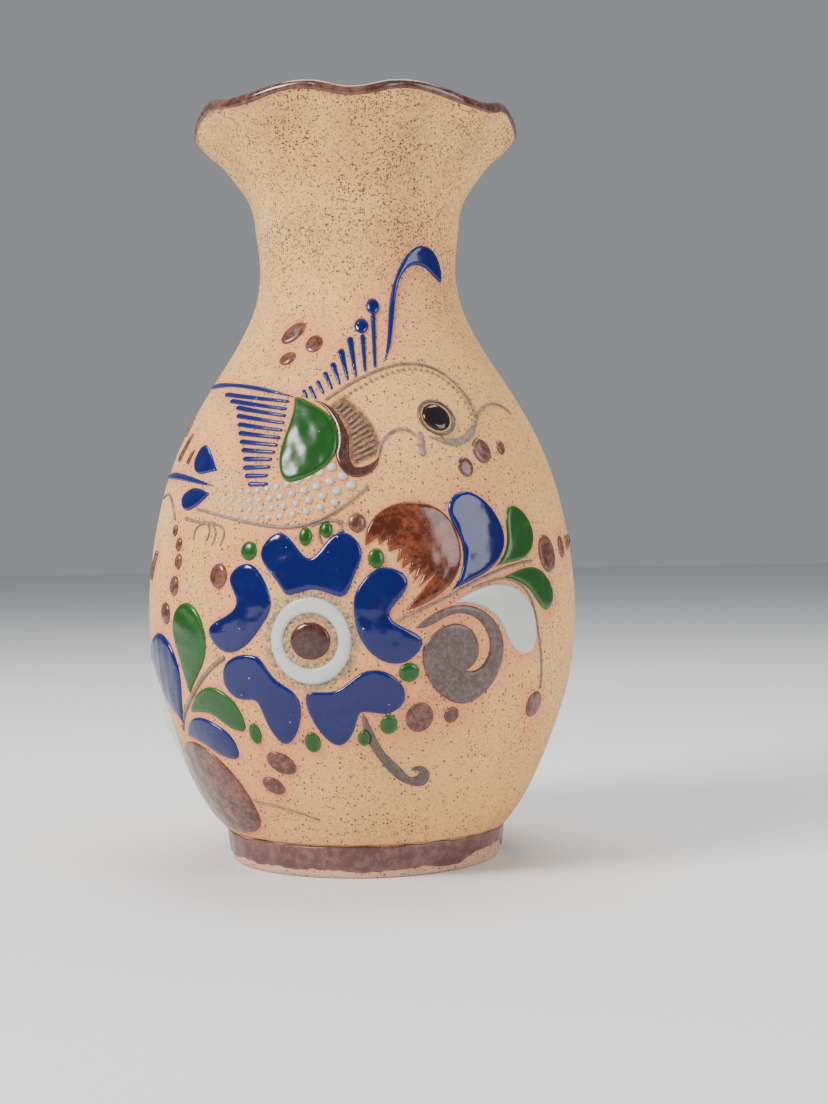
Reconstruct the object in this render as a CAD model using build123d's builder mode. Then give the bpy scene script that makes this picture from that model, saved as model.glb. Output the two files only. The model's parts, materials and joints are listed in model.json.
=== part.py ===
"""Flared vase of speckled clay with a bird and a flower in raised enamel.

Millimetres, +Z up, origin on the ground at the centre of the foot.
Azimuths are in degrees: 0 is the front of the vase (-Y) and they grow towards +X.
"""

import os
from math import acos, atan2, cos, degrees, hypot, radians, sin

from build123d import *

# ---------------------------------------------------------------- driving dimensions
FOOT_HEIGHT = 10.5
FOOT_RADIUS_LOW = 43.5
FOOT_RADIUS_HIGH = 44.8
FOOT_INNER = 37.5
FLOOR_UNDER = 5.0
WALL = 5.0
NECK_TOP = 214.0

LOBES = 8
LIP_RADIUS = 50.2
LIP_HEIGHT = 235.9
LIP_ROUND = 1.7
LIP_PUSH = 0.8
LIP_DIP = 2.0
LIP_SECTIONS = 7

GLAZE = 0.4
LINE = 0.45
ENAMEL = 0.8
BOSS = 1.1

SEAM = 112
SKETCH_DEPTH = 18
REACH = 60
LAYER_ARC = 110
LAYER_MARGIN = 3

# outer wall of the clay, (radius, height), from the foot to the throat of the mouth
WALL_LINE = (
    (46.3, 11.2), (52.3, 20), (60.2, 37), (66.4, 56), (68.85, 76), (66.9, 102),
    (60.1, 128), (48.6, 150), (36.5, 170), (31.7, 190), (33.1, 206), (36.3, NECK_TOP),
)
WALL_START = (0.80, 1.0)
WALL_END = (0.62, 1.0)

CLAY = Color(0.87, 0.71, 0.53)
CLAY_RAW = Color(0.84, 0.66, 0.50)
BROWN = Color(0.30, 0.15, 0.10)
SLIP = Color(0.40, 0.32, 0.31)
BLUE = Color(0.03, 0.08, 0.38)
GREEN = Color(0.13, 0.40, 0.12)
WHITE = Color(0.82, 0.82, 0.79)
BLACK = Color(0.09, 0.05, 0.06)


# ---------------------------------------------------------------- planes and strokes
def side_plane(azimuth):
    """Upright plane inside the wall facing outwards: x to the right, y up."""
    turn = radians(azimuth)
    return Plane(
        origin=(SKETCH_DEPTH * sin(turn), -SKETCH_DEPTH * cos(turn), 0),
        x_dir=(cos(turn), sin(turn), 0),
        z_dir=(sin(turn), -cos(turn), 0),
    )


def radial_plane(azimuth):
    """Upright plane holding the axis: x is the radius, y the height."""
    turn = radians(azimuth)
    return Plane(
        origin=(0, 0, 0),
        x_dir=(sin(turn), -cos(turn), 0),
        z_dir=(-cos(turn), -sin(turn), 0),
    )


def patch(*points):
    """Fill a smooth closed outline."""
    with BuildLine() as edge:
        Spline(*points, periodic=True)
    make_face(edge.edges())


def leaf(tip, *points):
    """Fill an outline with one sharp corner, its tip, and a smooth edge elsewhere."""
    with BuildLine() as edge:
        Spline(tip, *points, tip)
    make_face(edge.edges())


def blade(one_side, other_side):
    """Fill between two smooth edges that meet at both ends."""
    with BuildLine() as edge:
        Spline(*one_side)
        Spline(*other_side)
    make_face(edge.edges())


def trail(width, *points):
    """An even trailed line with round ends, drawn along a smooth path."""
    with BuildLine(mode=Mode.PRIVATE):
        path = Spline(*points)
    stations = 2 * len(points)
    left = []
    right = []
    for number in range(stations + 1):
        spot = path @ (number / stations)
        along = path % (number / stations)
        across = Vector(-along.Y, along.X) * width / 2
        left.append(spot + across)
        right.append(spot - across)
    with BuildLine() as edge:
        Spline(*left)
        ThreePointArc(left[-1], path @ 1 + (path % 1) * width / 2, right[-1])
        Spline(*reversed(right))
        ThreePointArc(right[0], path @ 0 - (path % 0) * width / 2, left[0])
    make_face(edge.edges())


def dab(head, tail, head_radius, tail_radius):
    """A brush dab: two round ends joined by their outer tangents."""
    run = (tail[0] - head[0], tail[1] - head[1])
    heading = degrees(atan2(run[1], run[0]))
    spread = degrees(acos((head_radius - tail_radius) / hypot(*run)))

    def rim(centre, radius, angle):
        turn = radians(angle)
        return (centre[0] + radius * cos(turn), centre[1] + radius * sin(turn))

    head_a = rim(head, head_radius, heading + spread)
    head_b = rim(head, head_radius, heading - spread)
    tail_a = rim(tail, tail_radius, heading + spread)
    tail_b = rim(tail, tail_radius, heading - spread)
    with BuildLine() as edge:
        ThreePointArc(head_a, rim(head, head_radius, heading + 180), head_b)
        Line(head_b, tail_b)
        ThreePointArc(tail_b, rim(tail, tail_radius, heading), tail_a)
        Line(tail_a, head_a)
    make_face(edge.edges())


def save(part, label, color):
    part.label = label
    part.color = color
    export_step(part, f"parts/{label}.step")


os.makedirs("parts", exist_ok=True)


# ---------------------------------------------------------------- layers on the wall
def share_at(curve, height):
    """How far along a rising curve, from 0 to 1, this height is reached."""
    low, high = 0.0, 1.0
    for _ in range(20):
        middle = (low + high) / 2
        if (curve @ middle).Y < height:
            low = middle
        else:
            high = middle
    return low


def wall_layer(thickness, azimuth, blank):
    """Shell on the clay wall behind a blank, grown outwards by the thickness."""
    box = blank.bounding_box()
    inside = Spline(*WALL_LINE, tangents=(WALL_START, WALL_END))
    outside = Spline(
        *((radius + thickness, height) for radius, height in WALL_LINE),
        tangents=(WALL_START, WALL_END),
    )
    start = max(share_at(inside, box.min.Z - LAYER_MARGIN), 0)
    end = min(share_at(inside, box.max.Z + LAYER_MARGIN), 1)
    inner = inside.trim(start, end)
    outer = outside.trim(start, end)
    with BuildPart(mode=Mode.PRIVATE) as layer:
        with BuildSketch(radial_plane(azimuth - LAYER_ARC / 2)):
            with BuildLine():
                add(inner)
                add(outer)
                Line(inner @ 0, outer @ 0)
                Line(inner @ 1, outer @ 1)
            make_face()
        revolve(axis=Axis.Z, revolution_arc=LAYER_ARC)
    return layer.part


# ---------------------------------------------------------------- mouth of the vase
def lip_centre(azimuth):
    """Middle of the rounded lip: pushed out and down in each valley of the flutes."""
    wave = cos(radians(LOBES * azimuth))
    return (LIP_RADIUS + LIP_PUSH * wave, LIP_HEIGHT - LIP_DIP * wave)


def lip_point(azimuth, radius, angle):
    centre = lip_centre(azimuth)
    turn = radians(angle)
    return (centre[0] + radius * cos(turn), centre[1] + radius * sin(turn))


def between(low, high, share, bulge=(0, 0)):
    return (
        low[0] + (high[0] - low[0]) * share + bulge[0],
        low[1] + (high[1] - low[1]) * share + bulge[1],
    )


LIP_OUT = -38
LIP_TIP = 52
LIP_IN = 142
THROAT_OUT = WALL_LINE[-1]
THROAT_IN = (THROAT_OUT[0] - WALL - 0.6, NECK_TOP)


def mouth_sector():
    """One flute of the flaring mouth, from valley to valley."""
    with BuildPart() as sector:
        for step in range(LIP_SECTIONS):
            azimuth = step * 360 / LOBES / (LIP_SECTIONS - 1)
            outer = lip_point(azimuth, LIP_ROUND, LIP_OUT)
            inner = lip_point(azimuth, LIP_ROUND, LIP_IN)
            with BuildSketch(radial_plane(azimuth)):
                with BuildLine():
                    Spline(
                        THROAT_OUT,
                        between(THROAT_OUT, outer, 0.33, (0.35, -0.45)),
                        between(THROAT_OUT, outer, 0.68, (0.25, -0.35)),
                        outer,
                    )
                    ThreePointArc(outer, lip_point(azimuth, LIP_ROUND, LIP_TIP), inner)
                    Spline(
                        inner,
                        between(THROAT_IN, inner, 0.66, (0.30, -0.40)),
                        between(THROAT_IN, inner, 0.32, (0.45, -0.60)),
                        THROAT_IN,
                    )
                    Line(THROAT_IN, THROAT_OUT)
                make_face()
        loft()
    return sector.part


def rim_sector():
    """Glaze over one flute of the lip."""
    with BuildPart() as sector:
        for step in range(LIP_SECTIONS):
            azimuth = step * 360 / LOBES / (LIP_SECTIONS - 1)
            clay_out = lip_point(azimuth, LIP_ROUND, LIP_OUT)
            clay_in = lip_point(azimuth, LIP_ROUND, LIP_IN)
            face_out = lip_point(azimuth, LIP_ROUND + GLAZE, LIP_OUT)
            face_in = lip_point(azimuth, LIP_ROUND + GLAZE, LIP_IN)
            with BuildSketch(radial_plane(azimuth)):
                with BuildLine():
                    ThreePointArc(clay_out, lip_point(azimuth, LIP_ROUND, LIP_TIP), clay_in)
                    Line(clay_in, face_in)
                    ThreePointArc(
                        face_in, lip_point(azimuth, LIP_ROUND + GLAZE, LIP_TIP), face_out
                    )
                    Line(face_out, clay_out)
                make_face()
        loft()
    return sector.part


# ---------------------------------------------------------------- clay and foot
MOUTH_SECTOR = mouth_sector()
RIM_SECTOR = rim_sector()

with BuildPart() as clay_body:
    with BuildSketch(radial_plane(SEAM)):
        with BuildLine():
            wall = Spline(*WALL_LINE, tangents=(WALL_START, WALL_END))
            Line(THROAT_OUT, THROAT_IN)
            Spline(
                THROAT_IN, (28.0, 206), (26.7, 190), (31.2, 170), (43.2, 150), (54.9, 128),
                (61.8, 102), (63.8, 76), (61.4, 56), (55.0, 37), (45.5, 20.5), (36.0, 14.2),
                (24.0, 12.5),
            )
            Line((24.0, 12.5), (0, 12.5))
            Line((0, 12.5), (0, FLOOR_UNDER))
            Line((0, FLOOR_UNDER), (FOOT_INNER, FLOOR_UNDER))
            Line((FOOT_INNER, FLOOR_UNDER), (FOOT_INNER, FOOT_HEIGHT))
            Line((FOOT_INNER, FOOT_HEIGHT), (FOOT_RADIUS_HIGH, FOOT_HEIGHT))
            Line((FOOT_RADIUS_HIGH, FOOT_HEIGHT), wall @ 0)
        make_face()
    revolve(axis=Axis.Z)
save(clay_body.part, "clay_body", CLAY)

with BuildPart() as fluted_mouth:
    with PolarLocations(0, LOBES):
        add(MOUTH_SECTOR)
save(fluted_mouth.part, "fluted_mouth", CLAY)

with BuildPart() as rim_glaze:
    with PolarLocations(0, LOBES):
        add(RIM_SECTOR)
save(rim_glaze.part, "rim_glaze", BROWN)

with BuildPart() as foot_ring:
    with BuildSketch(radial_plane(SEAM)):
        with BuildLine():
            Polyline(
                (FOOT_INNER, 0.8), (FOOT_INNER, FOOT_HEIGHT), (FOOT_RADIUS_HIGH, FOOT_HEIGHT),
                (FOOT_RADIUS_LOW, 0.8), (FOOT_RADIUS_LOW - 0.8, 0), (FOOT_INNER + 0.8, 0),
                (FOOT_INNER, 0.8),
            )
        make_face()
    revolve(axis=Axis.Z)
save(foot_ring.part, "foot_ring", CLAY_RAW)

# brown band on the foot; its lower edge steps up on the right where the brush left the clay
BAND_LOW = 2.4
BAND_HIGH = 10.1
BAND_STEP = 5.4


def foot_radius(height):
    share = (height - 0.8) / (FOOT_HEIGHT - 0.8)
    return FOOT_RADIUS_LOW + (FOOT_RADIUS_HIGH - FOOT_RADIUS_LOW) * share


with BuildPart() as foot_glaze:
    with BuildSketch(radial_plane(SEAM)):
        with BuildLine():
            Polyline(
                (foot_radius(BAND_LOW), BAND_LOW),
                (foot_radius(BAND_LOW) + GLAZE, BAND_LOW),
                (foot_radius(BAND_HIGH) + GLAZE, BAND_HIGH),
                (foot_radius(BAND_HIGH), BAND_HIGH),
                (foot_radius(BAND_LOW), BAND_LOW),
            )
        make_face()
    revolve(axis=Axis.Z)
    with BuildSketch(side_plane(62)):
        with Locations((0, BAND_LOW)):
            RectangleRounded(30, 2 * (BAND_STEP - BAND_LOW), 1.4)
    extrude(amount=REACH, mode=Mode.SUBTRACT)
save(foot_glaze.part, "foot_glaze", BROWN)


# ---------------------------------------------------------------- the flower
with BuildPart() as petal_top:
    with BuildSketch(side_plane(-13)):
        patch(
            (-7.6, 87.4), (-11.5, 92.5), (-15.0, 99.3), (-9.4, 104.6), (-4.0, 100.6), (0.2, 97.2),
            (4.0, 100.6), (9.6, 104.6), (15.0, 99.8), (13.2, 91.9), (10.4, 86.4), (1.0, 88.2),
        )
    extrude(amount=REACH)
    add(wall_layer(ENAMEL, -13, petal_top.part), mode=Mode.INTERSECT)
save(petal_top.part, "petal_top", BLUE)

with BuildPart() as petal_left:
    with BuildSketch(side_plane(-32)):
        patch(
            (11.4, 83.9), (8.6, 91.6), (2.8, 95.8), (-3.0, 91.6), (-0.4, 84.4), (-4.8, 80.4),
            (-11.1, 76.3), (-6.9, 70.6), (1.4, 71.3), (7.6, 77.0),
        )
    extrude(amount=REACH)
    add(wall_layer(ENAMEL, -32, petal_left.part), mode=Mode.INTERSECT)
save(petal_left.part, "petal_left", BLUE)

with BuildPart() as petal_lower_left:
    with BuildSketch(side_plane(-27)):
        patch(
            (-0.2, 69.0), (-6.4, 69.0), (-11.5, 66.0), (-12.2, 60.0), (-6.6, 56.0), (-2.0, 55.8),
            (0.6, 50.2), (5.9, 43.0), (11.2, 48.7), (11.4, 58.1), (5.4, 62.6),
        )
    extrude(amount=REACH)
    add(wall_layer(ENAMEL, -27, petal_lower_left.part), mode=Mode.INTERSECT)
save(petal_lower_left.part, "petal_lower_left", BLUE)

with BuildPart() as petal_lower_right:
    with BuildSketch(side_plane(-2)):
        patch(
            (-14.6, 57.8), (-11.9, 48.4), (-4.9, 42.8), (-0.6, 48.0), (1.2, 52.4), (8.4, 52.0),
            (14.1, 56.3), (10.6, 63.3), (1.8, 64.2), (-7.3, 58.8),
        )
    extrude(amount=REACH)
    add(wall_layer(ENAMEL, -2, petal_lower_right.part), mode=Mode.INTERSECT)
save(petal_lower_right.part, "petal_lower_right", BLUE)

with BuildPart() as petal_right:
    with BuildSketch(side_plane(6)):
        patch(
            (-10.0, 84.2), (-6.6, 91.2), (-0.9, 94.3), (5.8, 90.6), (3.4, 85.2), (0.4, 80.6),
            (4.7, 76.9), (9.9, 73.0), (6.1, 67.6), (-3.3, 68.4), (-8.8, 75.7),
        )
    extrude(amount=REACH)
    add(wall_layer(ENAMEL, 6, petal_right.part), mode=Mode.INTERSECT)
save(petal_right.part, "petal_right", BLUE)

PETALS = (
    petal_top.part, petal_left.part, petal_lower_left.part, petal_lower_right.part,
    petal_right.part,
)
FLOWER_HUB = (0.2, 73.5)

with BuildPart() as flower_ring:
    with BuildSketch(side_plane(-13)):
        with Locations(FLOWER_HUB):
            Ellipse(12.0, 12.6)
            Ellipse(8.2, 8.0, mode=Mode.SUBTRACT)
    extrude(amount=REACH)
    add(wall_layer(ENAMEL, -13, flower_ring.part), mode=Mode.INTERSECT)
    for petal in PETALS:
        add(petal, mode=Mode.SUBTRACT)
save(flower_ring.part, "flower_ring", WHITE)

with BuildPart() as flower_centre:
    with BuildSketch(side_plane(-13)):
        with Locations(FLOWER_HUB):
            Ellipse(6.0, 5.4)
    extrude(amount=REACH)
    add(wall_layer(BOSS, -13, flower_centre.part), mode=Mode.INTERSECT)
save(flower_centre.part, "flower_centre", BROWN)


def drops(thickness, rows, neighbours=()):
    """Separate round drops, each (azimuth, height, half width, half height, tilt)."""
    with BuildPart() as group:
        for azimuth, height, across, up, tilt in rows:
            with BuildSketch(side_plane(azimuth)):
                with Locations((0, height)):
                    Ellipse(across, up, rotation=tilt)
            extrude(amount=REACH)
        middle = sum(row[0] for row in rows) / len(rows)
        add(wall_layer(thickness, middle, group.part), mode=Mode.INTERSECT)
        for neighbour in neighbours:
            add(neighbour, mode=Mode.SUBTRACT)
    return group.part


flower_drops = drops(
    BOSS,
    (
        (-29.2, 99.5, 2.8, 2.8, 0), (-14.1, 103.4, 2.0, 2.7, 0), (-8.8, 105.2, 1.8, 2.3, 0),
        (3.4, 96.9, 2.4, 2.9, 0), (11.0, 64.0, 3.1, 2.8, 0), (6.2, 48.8, 2.6, 2.9, 0),
        (-0.2, 44.9, 1.9, 2.4, 0), (-14.0, 43.7, 2.5, 3.1, 0), (-30.4, 45.8, 2.1, 3.2, 0),
    ),
    PETALS,
)
save(flower_drops, "flower_drops", GREEN)

# ---------------------------------------------------------------- spray right of the flower
with BuildPart() as right_blue_leaf:
    with BuildSketch(side_plane(29)):
        leaf(
            (-10.1, 86.2), (-1.0, 90.2), (8.0, 95.2), (11.6, 101.6), (9.8, 108.4), (4.4, 114.2),
            (-2.8, 115.7), (-7.2, 111.4), (-5.6, 105.0), (-3.9, 99.0), (-5.2, 92.0),
        )
    extrude(amount=REACH)
    add(wall_layer(ENAMEL, 29, right_blue_leaf.part), mode=Mode.INTERSECT)
save(right_blue_leaf.part, "right_blue_leaf", BLUE)

with BuildPart() as rising_leaf:
    with BuildSketch(side_plane(42)):
        blade(
            ((-9.2, 93.3), (-1.2, 95.0), (6.4, 97.2), (9.9, 102.6), (7.2, 109.2), (1.0, 111.8)),
            ((-9.2, 93.3), (-4.6, 97.2), (-2.4, 102.0), (-1.8, 107.6), (1.0, 111.8)),
        )
    extrude(amount=REACH)
    add(wall_layer(ENAMEL, 44, rising_leaf.part), mode=Mode.INTERSECT)

with BuildPart() as drooping_leaf:
    with BuildSketch(side_plane(47)):
        leaf(
            (-11.4, 90.6), (-5.6, 89.2), (-0.8, 86.6), (3.6, 82.4), (8.8, 80.2), (12.2, 83.6),
            (9.8, 89.4), (4.6, 92.7), (-4.2, 92.6),
        )
    extrude(amount=REACH)
    add(wall_layer(ENAMEL, 45, drooping_leaf.part), mode=Mode.INTERSECT)

with BuildPart() as right_green_leaves:
    add(rising_leaf.part)
    add(drooping_leaf.part)
save(right_green_leaves.part, "right_green_leaves", GREEN)

with BuildPart() as right_white_leaf:
    with BuildSketch(side_plane(36)):
        leaf(
            (-16.3, 83.6), (-6.2, 88.1), (3.8, 88.2), (11.3, 84.0), (15.3, 75.0), (13.2, 68.2),
            (8.6, 67.6), (3.4, 71.2), (-1.4, 78.6), (-8.2, 82.6),
        )
    extrude(amount=REACH)
    add(wall_layer(ENAMEL, 36, right_white_leaf.part), mode=Mode.INTERSECT)
save(right_white_leaf.part, "right_white_leaf", WHITE)

with BuildPart() as fan_bud:
    with BuildSketch(side_plane(13)):
        with BuildLine():
            Spline(
                (-14.3, 100.5), (-13.0, 106.5), (-7.5, 111.5), (0.3, 113.0), (8.5, 110.6),
                (13.8, 102.5), (13.0, 92.4), (8.5, 87.2), (-3.6, 81.8),
            )
            Polyline(
                (-3.6, 81.8), (0.8, 86.6), (6.5, 92.6), (0.3, 88.0), (2.4, 92.6), (-0.9, 90.0),
                (0.6, 94.0), (-2.1, 92.0), (-1.2, 95.7), (-4.2, 93.7), (-3.3, 97.1), (-5.7, 95.4),
                (-4.5, 99.7), (-7.8, 98.6), (-7.8, 102.5), (-10.4, 100.6), (-10.8, 102.8),
                (-14.3, 100.5),
            )
        make_face()
    extrude(amount=REACH)
    add(wall_layer(ENAMEL, 13, fan_bud.part), mode=Mode.INTERSECT)
    for neighbour in (right_blue_leaf.part, petal_right.part, flower_drops):
        add(neighbour, mode=Mode.SUBTRACT)
save(fan_bud.part, "fan_bud", BROWN)

with BuildPart() as scroll:
    with BuildSketch(side_plane(25)):
        blade(
            (
                (-15.1, 76.7), (-10.2, 80.4), (-3.3, 82.8), (3.3, 82.4), (9.7, 79.0),
                (13.9, 72.5), (13.4, 64.5), (8.6, 57.2), (1.2, 54.0), (-6.4, 56.9),
                (-11.8, 64.0), (-12.6, 71.0), (-8.4, 75.8), (-2.0, 77.6), (3.6, 74.4),
                (5.2, 69.0), (1.0, 63.8),
            ),
            (
                (1.0, 63.8), (5.6, 64.3), (8.9, 69.5), (7.6, 75.4), (2.8, 79.6), (-4.0, 80.2),
                (-10.4, 77.4), (-15.1, 76.7),
            ),
        )
    extrude(amount=REACH)
    add(wall_layer(ENAMEL, 25, scroll.part), mode=Mode.INTERSECT)
    add(right_white_leaf.part, mode=Mode.SUBTRACT)
save(scroll.part, "scroll", SLIP)

with BuildPart() as right_stem_upper:
    with BuildSketch(side_plane(28)):
        trail(0.9, (-23.4, 79.2), (-16.0, 82.3), (-9.0, 85.3), (3.4, 90.6), (12.0, 93.2), (23.6, 95.0))
    extrude(amount=REACH)
    add(wall_layer(LINE, 28, right_stem_upper.part), mode=Mode.INTERSECT)
save(right_stem_upper.part, "right_stem_upper", SLIP)

right_berry = drops(ENAMEL, ((51.7, 51.5, 4.1, 3.9, 0),))
save(right_berry, "right_berry", BROWN)

with BuildPart() as right_stem_lower:
    with BuildSketch(side_plane(32)):
        trail(
            0.8, (-5.0, 87.8), (1.0, 89.4), (8.0, 90.0), (16.4, 85.6), (20.9, 74.3),
            (23.8, 62.0), (24.3, 56.4),
        )
    extrude(amount=REACH)
    add(wall_layer(LINE, 32, right_stem_lower.part), mode=Mode.INTERSECT)
    add(right_berry, mode=Mode.SUBTRACT)
save(right_stem_lower.part, "right_stem_lower", SLIP)

right_beads = drops(
    ENAMEL,
    (
        (56.2, 97.1, 4.9, 5.8, 12), (66.3, 99.0, 2.4, 3.5, 8), (73.4, 100.3, 1.7, 2.5, 5),
        (78.6, 101.0, 1.3, 1.9, 0),
    ),
    (right_stem_upper.part, right_green_leaves.part),
)
save(right_beads, "right_beads", BROWN)

belly_drops = drops(
    ENAMEL,
    (
        (14.2, 50.6, 4.2, 4.4, 0), (22.9, 50.8, 2.4, 2.4, 0), (-24.2, 37.0, 4.9, 3.2, -24),
        (-28.5, 29.7, 3.8, 2.6, -20), (-38.2, 92.2, 3.4, 3.7, 0),
    ),
    PETALS,
)
save(belly_drops, "belly_drops", BROWN)

with BuildPart() as hooked_stem:
    with BuildSketch(side_plane(9)):
        blade(
            (
                (-10.8, 52.6), (-9.8, 45.4), (-6.0, 38.8), (-1.2, 33.2), (4.4, 29.9),
                (9.0, 30.0), (10.0, 33.0), (7.4, 35.6), (3.9, 34.5),
            ),
            (
                (3.9, 34.5), (6.6, 33.4), (5.2, 32.5), (1.2, 35.2), (-3.8, 40.2), (-7.4, 46.2),
                (-10.8, 52.6),
            ),
        )
    extrude(amount=REACH)
    add(wall_layer(LINE, 9, hooked_stem.part), mode=Mode.INTERSECT)
    for neighbour in (*PETALS, flower_drops):
        add(neighbour, mode=Mode.SUBTRACT)
save(hooked_stem.part, "hooked_stem", SLIP)

with BuildPart() as ground_line:
    with BuildSketch(side_plane(-26)):
        trail(0.6, (-10.8, 24.0), (-0.2, 22.4), (9.4, 19.2))
    extrude(amount=REACH)
    add(wall_layer(LINE, -26, ground_line.part), mode=Mode.INTERSECT)
save(ground_line.part, "ground_line", SLIP)

# ---------------------------------------------------------------- spray left of the flower
with BuildPart() as left_white_leaf:
    with BuildSketch(side_plane(-80)):
        leaf(
            (5.0, 31.0), (10.8, 39.0), (12.6, 48.0), (10.3, 57.6), (5.0, 63.5), (-2.6, 61.0),
            (-6.4, 50.0), (-2.2, 38.0),
        )
    extrude(amount=REACH)
    add(wall_layer(ENAMEL, -80, left_white_leaf.part), mode=Mode.INTERSECT)
save(left_white_leaf.part, "left_white_leaf", WHITE)

with BuildPart() as left_blue_leaves:
    with BuildSketch(side_plane(-67)):
        leaf(
            (8.0, 46.6), (11.0, 53.0), (13.8, 62.8), (10.0, 71.0), (2.6, 74.2), (-6.0, 72.4),
            (-13.0, 66.6), (-7.0, 57.8), (2.0, 50.6),
        )
    extrude(amount=REACH)
    with BuildSketch(side_plane(-49)):
        leaf(
            (-11.8, 42.4), (-7.4, 42.0), (-2.0, 40.4), (4.0, 38.0), (11.6, 38.4), (11.6, 43.4),
            (6.4, 47.6), (-0.6, 49.4), (-7.4, 47.6),
        )
    extrude(amount=REACH)
    add(wall_layer(ENAMEL, -58, left_blue_leaves.part), mode=Mode.INTERSECT)
    add(left_white_leaf.part, mode=Mode.SUBTRACT)
save(left_blue_leaves.part, "left_blue_leaves", BLUE)

with BuildPart() as left_green_leaves:
    with BuildSketch(side_plane(-50)):
        leaf(
            (-2.0, 56.6), (3.4, 62.4), (8.2, 68.8), (8.0, 77.4), (2.6, 83.6), (-4.2, 83.0),
            (-7.9, 76.8), (-5.4, 68.6), (-3.4, 62.0),
        )
    extrude(amount=REACH)
    with BuildSketch(side_plane(-43)):
        leaf(
            (-12.0, 51.0), (-6.6, 51.2), (-1.6, 50.8), (4.4, 47.6), (10.6, 46.8), (10.8, 51.8),
            (6.6, 57.2), (0.2, 59.2), (-6.0, 57.0),
        )
    extrude(amount=REACH)
    add(wall_layer(ENAMEL, -46, left_green_leaves.part), mode=Mode.INTERSECT)
    add(left_blue_leaves.part, mode=Mode.SUBTRACT)
save(left_green_leaves.part, "left_green_leaves", GREEN)

with BuildPart() as left_brown_leaf:
    with BuildSketch(side_plane(-59)):
        patch(
            (-9.0, 38.4), (0.0, 41.0), (8.4, 39.4), (15.4, 33.8), (19.0, 25.0), (17.4, 17.0),
            (8.0, 12.6), (-5.0, 12.2), (-14.6, 15.2), (-18.6, 24.0), (-15.0, 33.0),
        )
    extrude(amount=REACH)
    add(wall_layer(ENAMEL, -59, left_brown_leaf.part), mode=Mode.INTERSECT)
    for neighbour in (left_white_leaf.part, left_blue_leaves.part):
        add(neighbour, mode=Mode.SUBTRACT)
save(left_brown_leaf.part, "left_brown_leaf", BROWN)

with BuildPart() as left_stem:
    with BuildSketch(side_plane(-49)):
        trail(1.4, (-14.6, 44.6), (-11.0, 48.8), (-4.4, 54.4), (5.0, 62.2), (14.4, 68.2))
    extrude(amount=REACH)
    add(wall_layer(LINE, -49, left_stem.part), mode=Mode.INTERSECT)
    for neighbour in (
        left_green_leaves.part, left_blue_leaves.part, left_brown_leaf.part, petal_left.part,
        petal_lower_left.part,
    ):
        add(neighbour, mode=Mode.SUBTRACT)
save(left_stem.part, "left_stem", SLIP)

bead_chain = drops(
    ENAMEL,
    (
        (-58.7, 105.8, 1.5, 1.9, 0), (-55.6, 101.6, 1.8, 2.2, 0), (-54.9, 96.4, 1.9, 2.4, 0),
        (-56.2, 89.0, 2.6, 3.1, 0), (-60.8, 80.6, 3.0, 3.4, 15),
    ),
)
save(bead_chain, "bead_chain", BROWN)

with BuildPart() as chain_stem:
    with BuildSketch(side_plane(-64)):
        trail(0.9, (-13.0, 116.2), (-6.0, 117.0), (-1.0, 114.8), (4.2, 109.4))
    extrude(amount=REACH)
    add(wall_layer(LINE, -64, chain_stem.part), mode=Mode.INTERSECT)
    add(bead_chain, mode=Mode.SUBTRACT)
save(chain_stem.part, "chain_stem", SLIP)

# ---------------------------------------------------------------- the bird: head
with BuildPart() as head_outline:
    with BuildSketch(side_plane(14)):
        trail(
            0.9, (-22.2, 143.8), (-14.4, 148.7), (-5.6, 152.8), (4.0, 154.9), (12.0, 153.6),
            (19.2, 148.3), (22.8, 142.2), (23.5, 138.6),
        )
    extrude(amount=REACH)
    add(wall_layer(LINE, 14, head_outline.part), mode=Mode.INTERSECT)
save(head_outline.part, "head_outline", SLIP)

HEAD_DOTS = 28
with BuildPart() as head_dots:
    with BuildSketch(side_plane(15)):
        with BuildLine(mode=Mode.PRIVATE) as crown:
            arc = Spline(
                (-17.8, 144.6), (-12.4, 147.7), (-5.0, 151.2), (4.4, 153.2), (11.0, 151.9),
                (17.4, 147.0), (20.8, 140.6), (20.7, 135.8),
            )
        with Locations(*(arc @ (number / (HEAD_DOTS - 1)) for number in range(HEAD_DOTS))):
            Circle(0.55)
    extrude(amount=REACH)
    add(wall_layer(LINE, 15, head_dots.part), mode=Mode.INTERSECT)
    add(head_outline.part, mode=Mode.SUBTRACT)
save(head_dots.part, "head_dots", SLIP)

with BuildPart() as eye_ring:
    with BuildSketch(side_plane(24)):
        with Locations((0.1, 138.1)):
            Ellipse(6.1, 5.5, rotation=-12)
            Ellipse(5.1, 4.6, rotation=-12, mode=Mode.SUBTRACT)
    extrude(amount=REACH)
    add(wall_layer(ENAMEL, 24, eye_ring.part), mode=Mode.INTERSECT)
save(eye_ring.part, "eye_ring", SLIP)

eye_pupil = drops(BOSS, ((24.0, 138.1, 4.5, 4.1, -12),))
save(eye_pupil, "eye_pupil", BLACK)

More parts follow.
